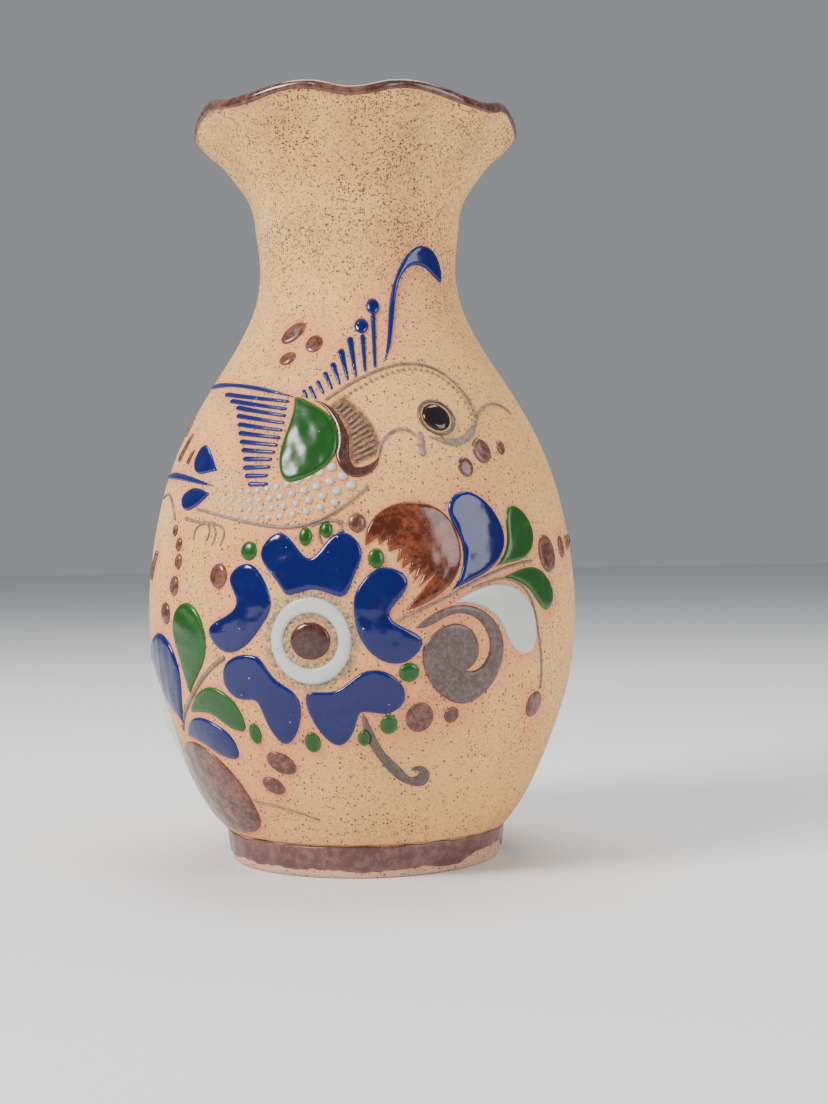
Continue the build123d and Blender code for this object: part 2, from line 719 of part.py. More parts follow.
with BuildPart() as beak:
    with BuildSketch(side_plane(29)):
        blade(
            ((-9.7, 132.4), (-6.7, 130.9), (-1.8, 129.5), (3.0, 130.4), (6.9, 133.0), (8.6, 136.6)),
            ((8.6, 136.6), (6.0, 135.4), (3.2, 133.2), (-0.6, 131.8), (-5.2, 131.9), (-9.7, 132.4)),
        )
    extrude(amount=REACH)
    with BuildSketch(side_plane(49)):
        trail(0.9, (-11.3, 135.8), (-7.6, 140.0), (-3.7, 142.1), (0.6, 143.2), (5.3, 142.9),
              (9.6, 140.6))
    extrude(amount=REACH)
    add(wall_layer(LINE, 39, beak.part), mode=Mode.INTERSECT)
    add(eye_ring.part, mode=Mode.SUBTRACT)
    add(head_dots.part, mode=Mode.SUBTRACT)
    add(head_outline.part, mode=Mode.SUBTRACT)
save(beak.part, "beak", SLIP)

with BuildPart() as throat_lines:
    with BuildSketch(side_plane(18)):
        dab((-0.4, 133.0), (-0.6, 127.2), 0.8, 1.0)
    extrude(amount=REACH)
    with BuildSketch(side_plane(10)):
        trail(1.0, (6.0, 132.6), (2.4, 134.5), (-2.4, 132.4), (-5.6, 126.6))
    extrude(amount=REACH)
    add(wall_layer(LINE, 14, throat_lines.part), mode=Mode.INTERSECT)
    add(eye_ring.part, mode=Mode.SUBTRACT)
    add(beak.part, mode=Mode.SUBTRACT)
save(throat_lines.part, "throat_lines", SLIP)

beak_drops = drops(
    ENAMEL,
    ((36.8, 128.1, 3.5, 3.8, 0), (29.9, 123.2, 2.7, 3.0, 0), (45.0, 129.4, 1.8, 2.3, -20)),
)
save(beak_drops, "beak_drops", SLIP)

crown_drops = drops(
    ENAMEL,
    ((-30.9, 165.6, 4.4, 2.8, 36), (-19.2, 161.6, 2.8, 2.8, 0), (-29.5, 157.3, 2.8, 2.1, 10)),
)
save(crown_drops, "crown_drops", BROWN)

# ---------------------------------------------------------------- the bird: crest
with BuildPart() as crest_plume:
    with BuildSketch(side_plane(32)):
        blade(
            (
                (-18.2, 154.6), (-12.2, 167.4), (-8.3, 178.3), (-3.7, 187.6), (1.9, 192.8),
                (7.6, 192.7), (11.9, 188.5), (12.0, 182.4),
            ),
            (
                (12.0, 182.4), (9.6, 183.6), (5.3, 186.3), (0.0, 186.7), (-4.1, 183.3),
                (-7.2, 176.4), (-10.6, 167.4), (-18.2, 154.6),
            ),
        )
    extrude(amount=REACH)
    add(wall_layer(ENAMEL, 32, crest_plume.part), mode=Mode.INTERSECT)
    add(head_outline.part, mode=Mode.SUBTRACT)
save(crest_plume.part, "crest_plume", BLUE)

crest_balls = drops(BOSS, ((7.2, 173.3, 2.1, 2.6, 0), (1.2, 167.0, 2.2, 2.5, 0)))
save(crest_balls, "crest_balls", BLUE)

# crest feathers, (head x, head height, foot x, foot height, head radius)
CREST_FEATHERS = (
    (8.3, 170.0, 9.6, 153.9, 0.75), (5.4, 163.6, 6.7, 152.6, 0.75), (1.6, 162.6, 4.0, 151.0, 1.0),
    (-0.9, 158.8, 1.6, 149.9, 1.0), (-3.1, 154.6, -0.8, 148.6, 0.9), (-5.3, 151.8, -3.1, 147.2, 0.8),
    (-7.4, 149.2, -5.6, 145.9, 0.7), (-9.7, 147.6, -7.9, 144.4, 0.65),
    (-11.6, 146.6, -10.6, 144.8, 0.6),
)
with BuildPart() as crest_feathers:
    with BuildSketch(side_plane(-6)):
        for head_x, head_z, foot_x, foot_z, size in CREST_FEATHERS:
            dab((head_x, head_z), (foot_x, foot_z), size, 0.45)
    extrude(amount=REACH)
    add(wall_layer(ENAMEL, -6, crest_feathers.part), mode=Mode.INTERSECT)
    for neighbour in (head_outline.part, crest_balls, crest_plume.part, head_dots.part):
        add(neighbour, mode=Mode.SUBTRACT)
save(crest_feathers.part, "crest_feathers", BLUE)

# ---------------------------------------------------------------- the bird: body
with BuildPart() as wing:
    with BuildSketch(side_plane(-15)):
        patch(
            (-6.3, 144.0), (-7.4, 134.0), (-8.6, 125.7), (-6.0, 119.8), (0.0, 120.4), (8.6, 127.8),
            (7.8, 135.5), (-0.3, 142.7),
        )
    extrude(amount=REACH)
    add(wall_layer(BOSS, -15, wing.part), mode=Mode.INTERSECT)
save(wing.part, "wing", GREEN)

with BuildPart() as neck_band:
    with BuildSketch(side_plane(-5)):
        blade(
            (
                (-9.3, 143.6), (-3.8, 138.6), (-1.8, 133.0), (-1.8, 126.0), (3.2, 120.4),
                (8.3, 121.6), (10.7, 126.4),
            ),
            (
                (10.7, 126.4), (7.2, 123.8), (3.6, 123.6), (1.9, 127.0), (1.7, 131.6),
                (-0.2, 136.6), (-4.0, 141.4), (-9.3, 143.6),
            ),
        )
    extrude(amount=REACH)
    add(wall_layer(ENAMEL, -5, neck_band.part), mode=Mode.INTERSECT)
    for neighbour in (wing.part, throat_lines.part):
        add(neighbour, mode=Mode.SUBTRACT)
save(neck_band.part, "neck_band", BROWN)

NECK_STRIPES = 12
with BuildPart() as neck_stripes:
    with BuildSketch(side_plane(-5)):
        with BuildLine(mode=Mode.PRIVATE):
            near = Spline((-2.4, 141.2), (1.9, 136.0), (3.2, 130.4), (3.8, 125.6))
            far = Spline((-0.7, 142.7), (5.0, 138.0), (8.7, 132.0), (9.7, 128.4))
        for number in range(NECK_STRIPES):
            share = number / (NECK_STRIPES - 1)
            start = near @ share
            end = far @ share
            dab((start.X, start.Y), (end.X, end.Y), 0.42, 0.34)
    extrude(amount=REACH)
    add(wall_layer(LINE, -5, neck_stripes.part), mode=Mode.INTERSECT)
    for neighbour in (neck_band.part, throat_lines.part, head_outline.part):
        add(neighbour, mode=Mode.SUBTRACT)
save(neck_stripes.part, "neck_stripes", SLIP)

# back feathers, (head x, head height, tip x, tip height)
BACK_FEATHERS = (
    (-13.4, 147.4, 13.6, 143.6), (-8.9, 145.0, 14.0, 141.3), (-4.6, 142.6, 14.6, 139.2),
    (-3.0, 140.0, 14.9, 137.0), (-1.2, 137.3, 15.0, 134.8), (0.4, 134.6, 15.0, 132.6),
    (2.0, 131.9, 14.9, 130.4), (3.6, 129.3, 14.6, 128.3), (5.2, 126.6, 14.2, 126.2),
    (5.9, 124.0, 14.2, 123.9), (7.2, 121.5, 14.0, 121.4), (9.0, 119.0, 14.6, 118.9),
)
with BuildPart() as back_feathers:
    with BuildSketch(side_plane(-39)):
        for head_x, head_z, tip_x, tip_z in BACK_FEATHERS:
            dab((head_x, head_z), (tip_x, tip_z), 0.75, 0.5)
    extrude(amount=REACH)
    add(wall_layer(ENAMEL, -39, back_feathers.part), mode=Mode.INTERSECT)
    add(wing.part, mode=Mode.SUBTRACT)
save(back_feathers.part, "back_feathers", BLUE)

with BuildPart() as tail_line_upper:
    with BuildSketch(side_plane(-52)):
        blade(
            ((-25.4, 151.6), (-14.0, 152.0), (-2.0, 151.0), (14.6, 148.4), (27.0, 144.6)),
            ((27.0, 144.6), (14.4, 147.2), (-2.0, 149.7), (-14.0, 150.2), (-25.4, 151.6)),
        )
    extrude(amount=REACH)
    add(wall_layer(ENAMEL, -52, tail_line_upper.part), mode=Mode.INTERSECT)
    add(wing.part, mode=Mode.SUBTRACT)
save(tail_line_upper.part, "tail_line_upper", BLUE)

with BuildPart() as tail_line_lower:
    with BuildSketch(side_plane(-63)):
        blade(
            ((-21.0, 123.0), (-8.0, 124.0), (1.0, 123.2), (11.2, 121.4), (21.0, 118.9)),
            ((21.0, 118.9), (11.2, 119.9), (1.0, 121.2), (-8.0, 121.8), (-21.0, 123.0)),
        )
    extrude(amount=REACH)
    add(wall_layer(ENAMEL, -63, tail_line_lower.part), mode=Mode.INTERSECT)
save(tail_line_lower.part, "tail_line_lower", BLUE)

with BuildPart() as tail_leaves:
    with BuildSketch(side_plane(-50)):
        leaf(
            (6.7, 123.4), (0.6, 122.8), (-4.2, 123.4), (-6.8, 127.0), (-4.4, 131.6), (0.2, 129.8),
            (3.4, 126.8),
        )
    extrude(amount=REACH)
    with BuildSketch(side_plane(-51)):
        leaf(
            (6.9, 116.6), (3.6, 114.2), (0.0, 112.4), (-6.2, 112.6), (-8.0, 115.6), (-4.4, 118.2),
            (2.4, 118.0),
        )
    extrude(amount=REACH)
    add(wall_layer(ENAMEL, -50, tail_leaves.part), mode=Mode.INTERSECT)
    add(tail_line_lower.part, mode=Mode.SUBTRACT)
save(tail_leaves.part, "tail_leaves", BLUE)

with BuildPart() as tail_marks:
    with BuildSketch(side_plane(-68)):
        dab((-8.4, 141.1), (-7.0, 135.8), 0.7, 0.5)
        dab((1.8, 135.0), (-1.2, 128.8), 1.1, 1.7)
        dab((8.7, 129.8), (7.8, 127.0), 0.7, 0.9)
        dab((-4.4, 98.6), (-9.2, 92.0), 1.2, 1.8)
    extrude(amount=REACH)
    add(wall_layer(ENAMEL, -68, tail_marks.part), mode=Mode.INTERSECT)
save(tail_marks.part, "tail_marks", BROWN)

with BuildPart() as belly_line:
    with BuildSketch(side_plane(-25)):
        trail(
            0.9, (-26.6, 112.0), (-11.8, 108.9), (0.7, 106.7), (9.6, 106.3), (20.6, 110.4),
            (28.6, 117.6),
        )
    extrude(amount=REACH)
    add(wall_layer(LINE, -25, belly_line.part), mode=Mode.INTERSECT)
    for neighbour in (tail_leaves.part, petal_top.part, flower_drops, neck_band.part):
        add(neighbour, mode=Mode.SUBTRACT)
save(belly_line.part, "belly_line", SLIP)

# rows of breast pearls: curve through three points, how many, first and last radius
PEARL_ROWS = (
    ((-19.6, 120.6), (-13.2, 121.3), (-6.4, 121.6), 6, 0.50, 0.65),
    ((-17.6, 118.0), (0.4, 117.4), (20.6, 123.4), 14, 0.60, 1.30),
    ((-18.4, 115.4), (3.0, 114.7), (24.0, 120.8), 14, 0.60, 1.35),
    ((-18.8, 113.0), (4.6, 112.0), (26.6, 118.0), 14, 0.55, 1.30),
    ((-13.3, 110.4), (6.0, 109.3), (22.6, 113.2), 11, 0.55, 1.15),
)
with BuildPart() as breast_pearls:
    with BuildSketch(side_plane(-27)):
        for first, middle, last, count, small, large in PEARL_ROWS:
            with BuildLine(mode=Mode.PRIVATE):
                row = ThreePointArc(first, middle, last)
            for number in range(count):
                share = (number / (count - 1)) ** 1.15
                with Locations(row @ share):
                    Circle(small + (large - small) * share)
    extrude(amount=REACH)
    add(wall_layer(BOSS, -27, breast_pearls.part), mode=Mode.INTERSECT)
    for neighbour in (
        wing.part, back_feathers.part, belly_line.part, neck_band.part, tail_line_lower.part,
        tail_leaves.part, fan_bud.part,
    ):
        add(neighbour, mode=Mode.SUBTRACT)
save(breast_pearls.part, "breast_pearls", WHITE)

with BuildPart() as bird_legs:
    with BuildSketch(side_plane(-46)):
        trail(1.0, (-9.4, 109.4), (-3.0, 108.3), (5.6, 107.6))
        trail(0.8, (1.0, 107.6), (-2.4, 106.4), (-3.2, 103.2))
        trail(0.8, (2.6, 107.4), (3.9, 105.4), (2.8, 102.6))
        trail(0.8, (4.2, 107.4), (6.6, 104.8), (5.6, 101.6))
        trail(0.8, (5.6, 107.4), (9.8, 105.2), (9.0, 101.2))
    extrude(amount=REACH)
    with BuildSketch(side_plane(-7)):
        trail(1.0, (-6.4, 106.6), (-1.4, 108.0), (2.4, 107.4))
        trail(0.8, (-2.6, 107.6), (-4.2, 105.0), (-3.4, 101.6))
        trail(0.8, (0.6, 107.8), (2.2, 106.4), (2.0, 104.6))
    extrude(amount=REACH)
    add(wall_layer(LINE, -26, bird_legs.part), mode=Mode.INTERSECT)
    for neighbour in (belly_line.part, flower_drops, petal_top.part):
        add(neighbour, mode=Mode.SUBTRACT)
save(bird_legs.part, "bird_legs", SLIP)

breast_drops = drops(
    BOSS,
    ((-1.2, 107.2, 2.6, 2.8, 0),),
    (bird_legs.part, petal_top.part, fan_bud.part, belly_line.part),
)
save(breast_drops, "breast_drops", BROWN)

# ---------------------------------------------------------------- small spray on the back
with BuildPart() as back_petals:
    with BuildSketch(side_plane(180)):
        with Locations((0, 84)):
            with PolarLocations(11.0, 5, start_angle=90):
                Ellipse(6.4, 5.4)
            Circle(7.4, mode=Mode.SUBTRACT)
    extrude(amount=REACH)
    add(wall_layer(ENAMEL, 180, back_petals.part), mode=Mode.INTERSECT)
save(back_petals.part, "back_petals", BLUE)

with BuildPart() as back_ring:
    with BuildSketch(side_plane(180)):
        with Locations((0, 84)):
            Circle(6.4)
            Circle(3.8, mode=Mode.SUBTRACT)
    extrude(amount=REACH)
    add(wall_layer(ENAMEL, 180, back_ring.part), mode=Mode.INTERSECT)
save(back_ring.part, "back_ring", WHITE)

back_centre = drops(BOSS, ((180, 84, 2.8, 2.8, 0),))
save(back_centre, "back_centre", BROWN)

with BuildPart() as back_leaves:
    with BuildSketch(side_plane(180)):
        leaf((2.2, 50.0), (8.0, 51.0), (14.6, 56.0), (13.6, 61.4), (7.0, 59.0))
        leaf((-2.2, 56.0), (-8.0, 57.0), (-14.6, 62.0), (-12.4, 66.4), (-6.0, 64.0))
    extrude(amount=REACH)
    add(wall_layer(ENAMEL, 180, back_leaves.part), mode=Mode.INTERSECT)
save(back_leaves.part, "back_leaves", GREEN)

with BuildPart() as back_stem:
    with BuildSketch(side_plane(180)):
        trail(1.3, (0.0, 66.4), (-0.8, 58.0), (0.8, 48.0), (5.6, 38.0))
    extrude(amount=REACH)
    add(wall_layer(LINE, 180, back_stem.part), mode=Mode.INTERSECT)
    for neighbour in (back_leaves.part, back_petals.part):
        add(neighbour, mode=Mode.SUBTRACT)
save(back_stem.part, "back_stem", SLIP)
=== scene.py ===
import json
import math

import bmesh
import bpy
import numpy as np
from mathutils import Matrix, Vector
from mathutils.geometry import delaunay_2d_cdt
from mathutils.kdtree import KDTree


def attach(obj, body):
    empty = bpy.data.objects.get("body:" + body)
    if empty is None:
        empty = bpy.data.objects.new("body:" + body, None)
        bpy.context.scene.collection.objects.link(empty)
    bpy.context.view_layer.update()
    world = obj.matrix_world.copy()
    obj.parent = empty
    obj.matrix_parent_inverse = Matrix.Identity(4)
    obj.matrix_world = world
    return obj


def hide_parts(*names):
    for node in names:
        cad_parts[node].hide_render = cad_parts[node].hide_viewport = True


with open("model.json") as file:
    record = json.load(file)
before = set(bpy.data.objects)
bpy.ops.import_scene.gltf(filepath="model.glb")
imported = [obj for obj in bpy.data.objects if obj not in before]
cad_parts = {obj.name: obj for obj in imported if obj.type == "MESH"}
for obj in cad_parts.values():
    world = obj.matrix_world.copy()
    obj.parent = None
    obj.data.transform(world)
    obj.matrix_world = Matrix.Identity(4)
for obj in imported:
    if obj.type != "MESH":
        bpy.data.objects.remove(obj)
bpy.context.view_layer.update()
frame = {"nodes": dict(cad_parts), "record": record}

MM = 0.001
SLOT_OF = {part["node"]: part["material_slot"] for part in frame["record"]["subparts"]}


# ---------------------------------------------------------------- reading the frame
def mesh_arrays(node):
    """Welded vertices in millimetres and the triangles of a CAD node."""
    work = bmesh.new()
    work.from_mesh(frame["nodes"][node].data)
    bmesh.ops.remove_doubles(work, verts=work.verts, dist=0.006 * MM)
    bmesh.ops.triangulate(work, faces=work.faces)
    work.verts.ensure_lookup_table()
    points = np.array([tuple(v.co) for v in work.verts]) / MM
    triangles = np.array([[v.index for v in face.verts] for face in work.faces])
    work.free()
    return points, triangles


class Curve:
    """Smooth natural cubic through knots (x rising)."""

    def __init__(self, x, y):
        x, y = np.asarray(x, float), np.asarray(y, float)
        count = len(x)
        gap = np.diff(x)
        rise = np.diff(y) / gap
        system = np.eye(count)
        right = np.zeros(count)
        for k in range(1, count - 1):
            system[k, k - 1:k + 2] = gap[k - 1], 2 * (gap[k - 1] + gap[k]), gap[k]
            right[k] = 6 * (rise[k] - rise[k - 1])
        self.x, self.y, self.bend = x, y, np.linalg.solve(system, right)

    def __call__(self, at):
        at = np.clip(np.asarray(at, float), self.x[0], self.x[-1])
        k = np.clip(np.searchsorted(self.x, at) - 1, 0, len(self.x) - 2)
        gap = self.x[k + 1] - self.x[k]
        a = (self.x[k + 1] - at) / gap
        b = (at - self.x[k]) / gap
        return (
            a * self.y[k] + b * self.y[k + 1]
            + ((a ** 3 - a) * self.bend[k] + (b ** 3 - b) * self.bend[k + 1]) * gap ** 2 / 6
        )


def outer_wall():
    """Radius of the clay wall over its height, from the rows of the CAD body."""
    points, triangles = mesh_arrays("clay_body")
    radius = np.hypot(points[:, 0], points[:, 1])
    edge = points[triangles]
    normal = np.cross(edge[:, 1] - edge[:, 0], edge[:, 2] - edge[:, 0])
    middle = edge.mean(1)
    outward = (normal[:, 0] * middle[:, 0] + normal[:, 1] * middle[:, 1]) > 0
    facing = np.unique(triangles[outward])
    facing = facing[(points[facing, 2] >= 11.19) & (radius[facing] > 31)]
    height = np.round(points[facing, 2], 1)
    rows = []
    for level in np.unique(height):
        chosen = facing[height == level]
        rows.append((points[chosen, 2].mean(), radius[chosen].max()))
    rows = np.array(rows)
    keep = [0]
    for k in range(1, len(rows)):
        if rows[k, 0] - rows[keep[-1], 0] > 1.2:
            keep.append(k)
    rows = rows[keep]
    return Curve(rows[:, 0], rows[:, 1]), rows


WALL, WALL_ROWS = outer_wall()
WALL_LOW, WALL_HIGH = WALL_ROWS[0, 0], WALL_ROWS[-1, 0]
HEIGHTS = np.linspace(WALL_LOW, WALL_HIGH, 1600)
RADII = WALL(HEIGHTS)
RUN = np.concatenate([[0], np.cumsum(np.hypot(np.diff(HEIGHTS), np.diff(RADII)))])


def wall_radius(height):
    return np.interp(height, HEIGHTS, RADII)


# ---------------------------------------------------------------- smooth unevenness
def ripple(a, b, seed, size):
    """Smooth waves over two coordinates, between about -1 and 1."""
    chance = np.random.default_rng(seed)
    total = 0
    for _ in range(7):
        turn = chance.uniform(0, 2 * math.pi)
        pitch = chance.uniform(0.6, 1.7) / size
        phase = chance.uniform(0, 2 * math.pi)
        along = a * math.cos(turn) + b * math.sin(turn)
        total = total + np.sin(2 * math.pi * pitch * along + phase)
    return total / 3.2


def add_mesh(name, points, faces, material, nodes):
    """A smooth-shaded piece of the look, standing for those CAD nodes."""
    mesh = bpy.data.meshes.new(name)
    mesh.from_pydata((np.asarray(points) * MM).tolist(), [], faces)
    mesh.validate()
    piece = bpy.data.objects.new(name, mesh)
    bpy.context.scene.collection.objects.link(piece)
    mesh.materials.append(material)
    mesh.polygons.foreach_set("use_smooth", [True] * len(mesh.polygons))
    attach(piece, "root")
    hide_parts(*nodes)
    return piece


def add_value(piece, name, values):
    """A number at each vertex, for the materials to read."""
    layer = piece.data.attributes.new(name, "FLOAT", "POINT")
    layer.data.foreach_set("value", np.asarray(values, np.float32))


# ---------------------------------------------------------------- materials
class Paint:
    """Short forms for the nodes of one material."""

    def __init__(self, name, roughness):
        self.material = bpy.data.materials.new(name)
        self.material.use_nodes = True
        self.tree = self.material.node_tree
        self.shader = self.tree.nodes["Principled BSDF"]
        self.shader.inputs["Roughness"].default_value = roughness
        self.place = self.tree.nodes.new("ShaderNodeTexCoord").outputs["Object"]

    def feed(self, socket, value):
        if isinstance(value, bpy.types.NodeSocket):
            self.tree.links.new(value, socket)
        elif isinstance(value, tuple):
            socket.default_value = (*value, 1.0) if len(value) == 3 else value
        else:
            socket.default_value = value

    def noise(self, scale, detail=3.0, rough=0.55):
        node = self.tree.nodes.new("ShaderNodeTexNoise")
        node.inputs["Scale"].default_value = scale
        node.inputs["Detail"].default_value = detail
        node.inputs["Roughness"].default_value = rough
        self.tree.links.new(self.place, node.inputs["Vector"])
        return node.outputs["Fac"]

    def cells(self, scale):
        node = self.tree.nodes.new("ShaderNodeTexVoronoi")
        node.inputs["Scale"].default_value = scale
        self.tree.links.new(self.place, node.inputs["Vector"])
        parts = self.tree.nodes.new("ShaderNodeSeparateColor")
        self.tree.links.new(node.outputs["Color"], parts.inputs[0])
        return node.outputs["Distance"], parts.outputs[0]

    def math(self, kind, a, b=0.5, clamp=False):
        node = self.tree.nodes.new("ShaderNodeMath")
        node.operation = kind
        node.use_clamp = clamp
        self.feed(node.inputs[0], a)
        self.feed(node.inputs[1], b)
        return node.outputs[0]

    def span(self, value, low, high, to_low=0.0, to_high=1.0):
        node = self.tree.nodes.new("ShaderNodeMapRange")
        node.interpolation_type = "SMOOTHSTEP"
        self.feed(node.inputs["Value"], value)
        self.feed(node.inputs["From Min"], low)
        self.feed(node.inputs["From Max"], high)
        self.feed(node.inputs["To Min"], to_low)
        self.feed(node.inputs["To Max"], to_high)
        return node.outputs["Result"]

    def mix(self, share, first, second):
        node = self.tree.nodes.new("ShaderNodeMix")
        node.data_type = "RGBA"
        self.feed(node.inputs["Factor"], share)
        self.feed(node.inputs[6], first)
        self.feed(node.inputs[7], second)
        return node.outputs[2]

    def value(self, name):
        node = self.tree.nodes.new("ShaderNodeAttribute")
        node.attribute_name = name
        return node.outputs["Fac"]

    def height(self):
        node = self.tree.nodes.new("ShaderNodeSeparateXYZ")
        self.tree.links.new(self.place, node.inputs[0])
        return node.outputs["Z"]

    def specks(self, scale, share, size):
        """Round specks: share of the cells hold one, up to that part of a cell wide."""
        distance, luck = self.cells(scale)
        chosen = self.span(luck, 1 - share, 1.0, 0.0, size)
        inner = self.math("MULTIPLY", chosen, 0.55)
        return self.span(distance, inner, self.math("ADD", chosen, 0.002), 1.0, 0.0)

    def finish(self, colour, bump=None, strength=0.2, depth=0.0002):
        self.feed(self.shader.inputs["Base Color"], colour)
        if bump is not None:
            node = self.tree.nodes.new("ShaderNodeBump")
            node.inputs["Strength"].default_value = strength
            node.inputs["Distance"].default_value = depth
            self.tree.links.new(bump, node.inputs["Height"])
            self.tree.links.new(node.outputs["Normal"], self.shader.inputs["Normal"])
        return self.material


def clay_paint(name, base, dusk, dark, halo=True):
    p = Paint(name, 0.8)
    wide = p.noise(18, 4, 0.6)
    colour = p.mix(p.span(wide, 0.3, 0.7), base, dusk)
    grain = p.noise(1300, 2, 0.7)
    colour = p.mix(p.span(grain, 0.35, 0.75, 0.0, 0.5), colour, dusk)
    if halo:
        blotch = p.span(p.noise(70, 3), 0.25, 0.7, 0.45, 1.0)
        colour = p.mix(p.math("MULTIPLY", p.value("halo"), blotch), colour, (0.80, 0.29, 0.13))
        smudge = p.span(p.noise(900, 4, 0.7), 0.38, 0.56)
        colour = p.mix(p.math("MULTIPLY", p.value("fringe"), smudge), colour, (0.20, 0.19, 0.12))
        wash = p.span(p.noise(500, 4, 0.7), 0.3, 0.6, 0.6, 0.95)
        colour = p.mix(p.math("MULTIPLY", p.value("stain"), wash), colour, (0.085, 0.036, 0.024))
    # fine specks grow denser up towards the neck: the specks are the clay's own, but the darker,
    # greyer neck they give is partly painted shade under the flare
    neck = p.span(p.height(), 0.150, 0.205, 0.45, 1.0)
    # painted shade: the neck under the flaring mouth is darkened to grey-brown in noisy patches,
    # standing for the shade that falls there
    neck_shade = p.span(p.noise(34, 3), 0.42, 0.7, 0.0, 0.55)
    neck_shade = p.math("MULTIPLY", p.span(p.height(), 0.165, 0.205), neck_shade)
    neck_shade = p.math("MULTIPLY", neck_shade, p.span(p.noise(800, 4, 0.7), 0.35, 0.6))
    colour = p.mix(neck_shade, colour, (0.33, 0.19, 0.10))
    fine = p.specks(1700, 0.9, 0.72)
    fine = p.math("MULTIPLY", fine, p.span(p.noise(60, 2), 0.35, 0.62, 0.55, 1.0))
    fine = p.math("MULTIPLY", fine, neck)
    colour = p.mix(fine, colour, dark)
    colour = p.mix(p.math("MULTIPLY", p.specks(950, 0.6, 0.46), 0.92), colour, (0.10, 0.045, 0.02))
    coarse = p.math("MULTIPLY", p.specks(430, 0.30, 0.17), 0.85)
    colour = p.mix(coarse, colour, (0.05, 0.022, 0.012))
    bump = p.math("ADD", p.noise(1500, 3, 0.6), p.math("MULTIPLY", p.noise(260, 3), 1.2))
    return p.finish(colour, bump, 0.35, 0.00012)


def enamel_paint(name, deep, thin, roughness, pale=(0.35, 0.40, 0.55), pinholes=0.8):
    """Glossy raised enamel, thinner and lighter towards its edges."""
    p = Paint(name, roughness)
    cloud = p.noise(240, 4, 0.6)
    share = p.math("MULTIPLY", p.span(p.value("depth"), 0.0, 0.55, 1.0, 0.0), 0.75)
    share = p.math("ADD", share, p.span(cloud, 0.45, 0.8, 0.0, 0.25), clamp=True)
    colour = p.mix(share, deep, thin)
    colour = p.mix(p.math("MULTIPLY", p.specks(420, 0.3, 0.15), pinholes), colour, pale)
    pits = p.math("MULTIPLY", p.specks(420, 0.3, 0.15), -0.6)
    bump = p.math("ADD", p.math("MULTIPLY", p.noise(150, 2), 2.0), pits)
    return p.finish(colour, bump, 0.25, 0.00035)


def glaze_paint(name, thick, thin, fleck, roughness, scale=420):
    """Runny brown glaze: mottled, dark where it lies thick."""
    p = Paint(name, roughness)
    mottle = p.noise(scale, 5, 0.68)
    broad = p.noise(scale * 0.28, 3, 0.6)
    both = p.math("ADD", mottle, p.math("MULTIPLY", broad, 0.6))
    share = p.math("MULTIPLY", p.span(both, 0.66, 0.98), 0.9)
    share = p.math("ADD", share, p.span(p.value("depth"), 0.0, 0.4, 0.35, 0.0), clamp=True)
    colour = p.mix(share, thick, thin)
    colour = p.mix(p.math("MULTIPLY", p.specks(700, 0.35, 0.24), 0.8), colour, fleck)
    return p.finish(colour, p.math("ADD", broad, p.math("MULTIPLY", mottle, 0.4)), 0.22, 0.0004)


def slip_paint(name, base, light, roughness):
    p = Paint(name, roughness)
    colour = p.mix(p.span(p.noise(700, 4, 0.7), 0.38, 0.68), base, light)
    colour = p.mix(p.math("MULTIPLY", p.specks(1100, 0.4, 0.3), 0.6), colour, (0.05, 0.025, 0.018))
    return p.finish(colour, p.noise(500, 3), 0.3, 0.0002)


CLAY = clay_paint("speckled_clay", (0.87, 0.52, 0.185), (0.77, 0.42, 0.135), (0.075, 0.033, 0.014))
RAW = clay_paint(
    "raw_clay", (0.74, 0.46, 0.30), (0.62, 0.36, 0.22), (0.14, 0.07, 0.04), halo=False
)
BLUE = enamel_paint("blue_enamel", (0.0010, 0.0045, 0.085), (0.006, 0.020, 0.19), 0.13)
GREEN = enamel_paint(
    "green_enamel", (0.006, 0.066, 0.006), (0.030, 0.150, 0.018), 0.24, (0.3, 0.45, 0.2), 0.35
)
WHITE = enamel_paint(
    "white_enamel", (0.56, 0.585, 0.54), (0.48, 0.48, 0.42), 0.30, (0.25, 0.23, 0.2), 0.5
)
BLACK = enamel_paint(
    "black_enamel", (0.010, 0.006, 0.008), (0.035, 0.018, 0.018), 0.1, (0.2, 0.2, 0.22), 0.3
)
BROWN = glaze_paint(
    "brown_glaze", (0.075, 0.030, 0.020), (0.23, 0.096, 0.060), (0.03, 0.012, 0.008), 0.18, 650
)
DARK = glaze_paint(
    "dark_glaze", (0.040, 0.015, 0.011), (0.095, 0.040, 0.028), (0.02, 0.008, 0.006), 0.16, 650
)
BUD = glaze_paint(
    "bud_glaze", (0.070, 0.014, 0.006), (0.235, 0.062, 0.026), (0.03, 0.008, 0.004), 0.14
)
RIM = glaze_paint(
    "rim_glaze", (0.060, 0.020, 0.014), (0.20, 0.080, 0.055), (0.04, 0.015, 0.011), 0.09
)
FOOT = glaze_paint(
    "foot_glaze", (0.105, 0.046, 0.040), (0.20, 0.105, 0.090), (0.06, 0.028, 0.024), 0.3
)
SLIP = slip_paint("slip", (0.085, 0.052, 0.048), (0.16, 0.105, 0.09), 0.36)
STEM = slip_paint("stem_slip", (0.17, 0.115, 0.085), (0.34, 0.24, 0.17), 0.55)

PAINT = {
    "enamel_blue": BLUE, "enamel_green": GREEN, "enamel_white": WHITE, "enamel_black": BLACK,
    "glaze_brown": BROWN, "slip_line": STEM, "clay": CLAY, "raw_clay": RAW,
}
SPECIAL = {
    "scroll": SLIP, "fan_bud": BUD, "hooked_stem": SLIP, "eye_ring": SLIP, "neck_band": DARK,
    "flower_centre": DARK, "beak_drops": BROWN,
}


